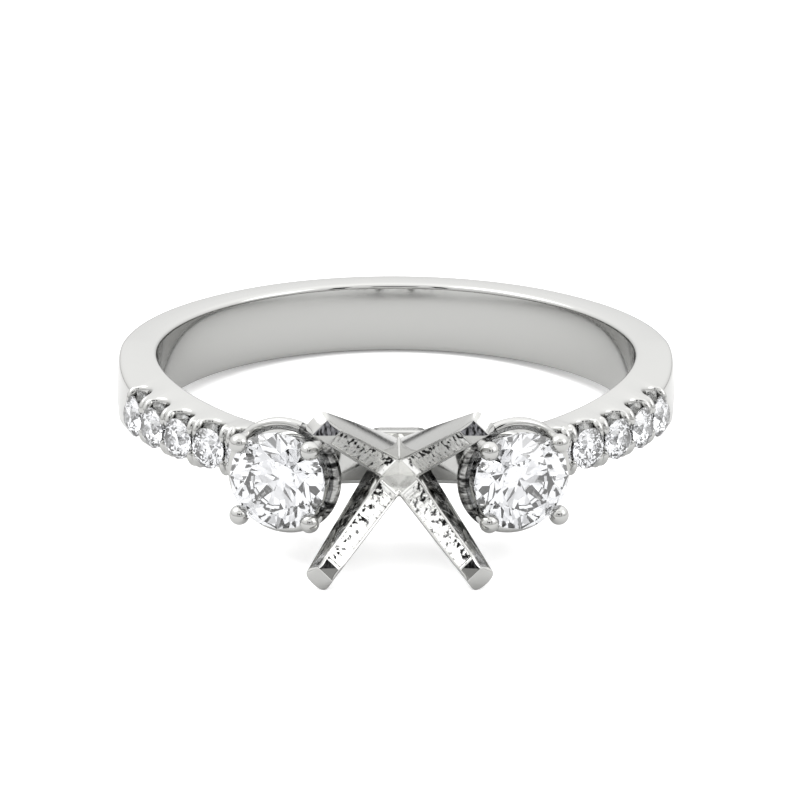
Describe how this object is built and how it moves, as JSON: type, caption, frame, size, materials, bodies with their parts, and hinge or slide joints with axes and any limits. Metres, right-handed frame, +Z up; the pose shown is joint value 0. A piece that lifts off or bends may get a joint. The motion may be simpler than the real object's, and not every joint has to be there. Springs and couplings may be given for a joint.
{
  "type": "three stone engagement ring mount without its centre stone",
  "caption": "Engagement ring semi-mount lying on its side: an open claw head for a centre stone, round side stones in wire baskets and small accent stones set along both shoulders.",
  "frame": {"origin": "middle of the finger hole", "axes": "+Z up as the ring lies on its side, about 4.6 degrees from the axis of the finger hole; -Y toward the centre head; +X to the wearer's side on the right of the picture"},
  "size_m": [0.0198, 0.0238, 0.0063],
  "materials": {
    "white_gold": "polished",
    "diamond": "polished facets"
  },
  "bodies": {
    "root": {"ring_mount": "white_gold", "side_stone_left": "diamond", "side_stone_right": "diamond", "accent_stone_left_1": "diamond", "accent_stone_left_2": "diamond", "accent_stone_left_3": "diamond", "accent_stone_left_4": "diamond", "accent_stone_left_5": "diamond", "accent_stone_right_1": "diamond", "accent_stone_right_2": "diamond", "accent_stone_right_3": "diamond", "accent_stone_right_4": "diamond", "accent_stone_right_5": "diamond"}
  },
  "joints": []
}
